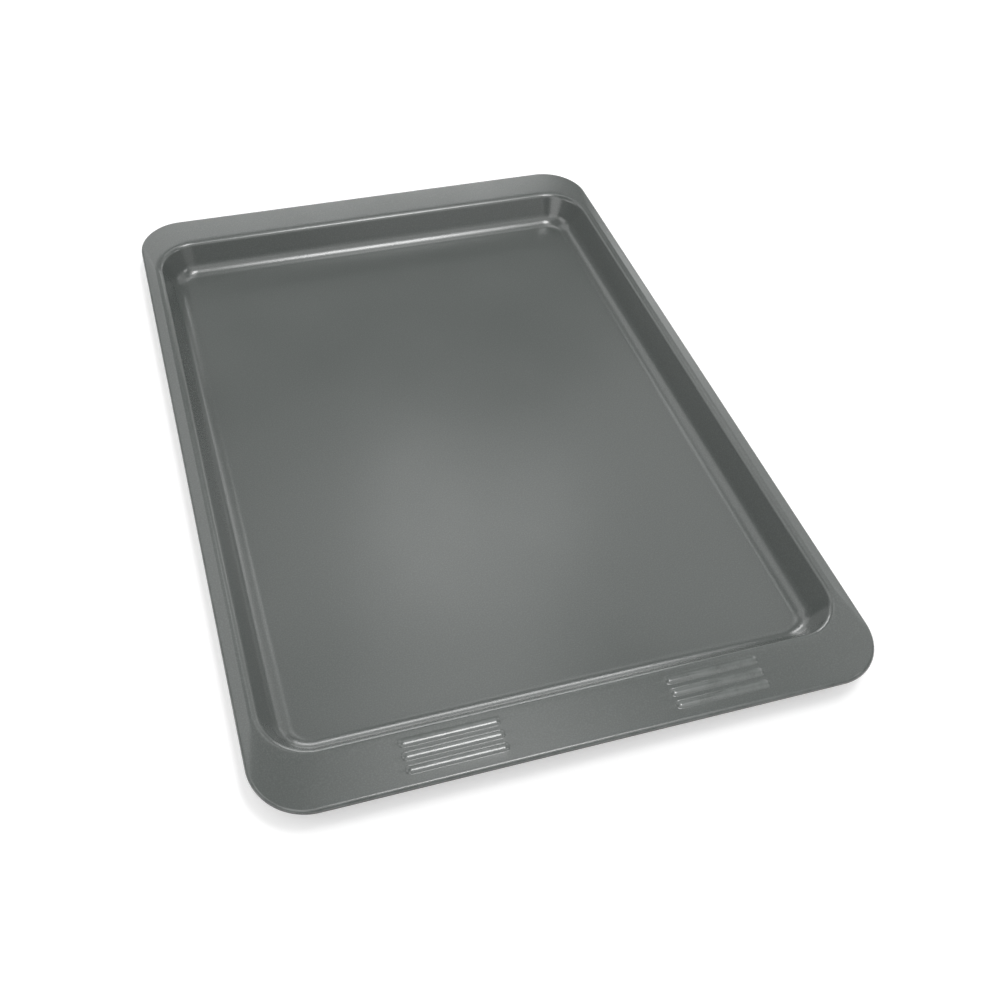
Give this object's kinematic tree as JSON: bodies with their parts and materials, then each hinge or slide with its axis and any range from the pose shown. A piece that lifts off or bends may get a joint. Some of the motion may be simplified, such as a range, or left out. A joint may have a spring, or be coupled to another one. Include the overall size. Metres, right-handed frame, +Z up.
{
  "type": "cookie sheet",
  "caption": "Rectangular non-stick baking sheet: shallow drawn well with rounded corners, wide flanges at the ends to hold it by, embossed grip ribs and a rolled, wire-stiffened rim.",
  "frame": {"origin": "on the surface that the sheet stands on, under the middle of its outline", "axes": "+X across the sheet, +Y along it from the front flange with the grip ribs to the rear flange, +Z up out of the well"},
  "size_m": [0.259, 0.368, 0.0151],
  "materials": {
    "nonstick_steel": "dark grey non-stick coating on sheet steel, semi-gloss with a fine texture",
    "steel_wire": "drawn steel wire, plain"
  },
  "bodies": {
    "root": {"pan_sheet": "nonstick_steel", "rim_wire": "steel_wire"}
  },
  "joints": []
}
